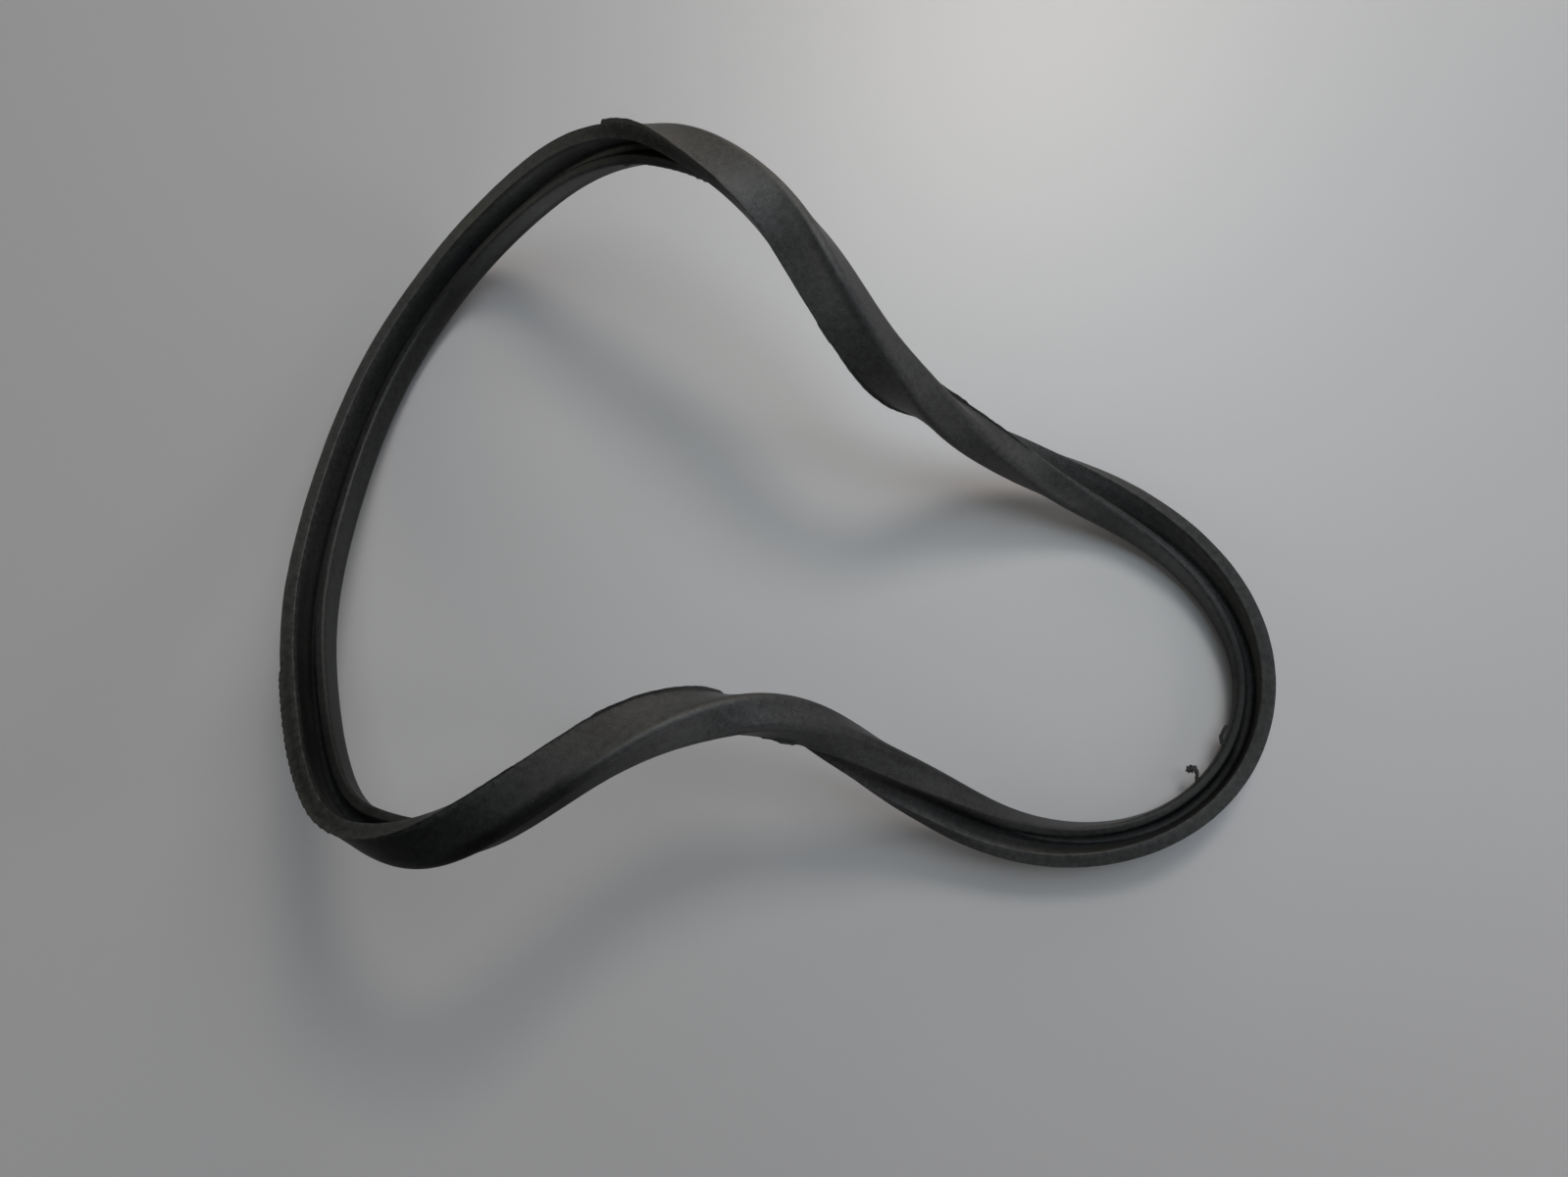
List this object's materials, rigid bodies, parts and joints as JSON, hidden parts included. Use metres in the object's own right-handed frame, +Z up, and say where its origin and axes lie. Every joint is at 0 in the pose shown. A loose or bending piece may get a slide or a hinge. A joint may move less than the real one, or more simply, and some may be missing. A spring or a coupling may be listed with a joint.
{
  "type": "timing belt cover seal",
  "caption": "Closed ring of moulded rubber channel with a tall outer lip, a groove and a low inner lip, lying loosely twisted, with ragged moulding flash left on its lips.",
  "frame": {"origin": "middle of the ring's footprint, on the surface that it rests on", "axes": "+X along the ring's length, towards its small lobe; +Z up from the surface that it rests on"},
  "size_m": [0.192, 0.1362, 0.0549],
  "materials": {
    "moulded_rubber": "satin moulded rubber, slightly worn and dusty",
    "rubber_flash": "thin torn rubber flash, matt edges"
  },
  "bodies": {
    "root": {"channel_ring": "moulded_rubber", "flash_outer_apex": "rubber_flash", "flash_outer_upper_twist": "rubber_flash", "flash_outer_left_side": "rubber_flash", "flash_outer_low_corner": "rubber_flash", "flash_outer_lower_twist": "rubber_flash", "flash_inner_apex": "rubber_flash", "flash_inner_upper_twist": "rubber_flash", "flash_inner_lower_twist": "rubber_flash", "torn_sliver_long": "rubber_flash", "torn_sliver_short": "rubber_flash"}
  },
  "joints": []
}
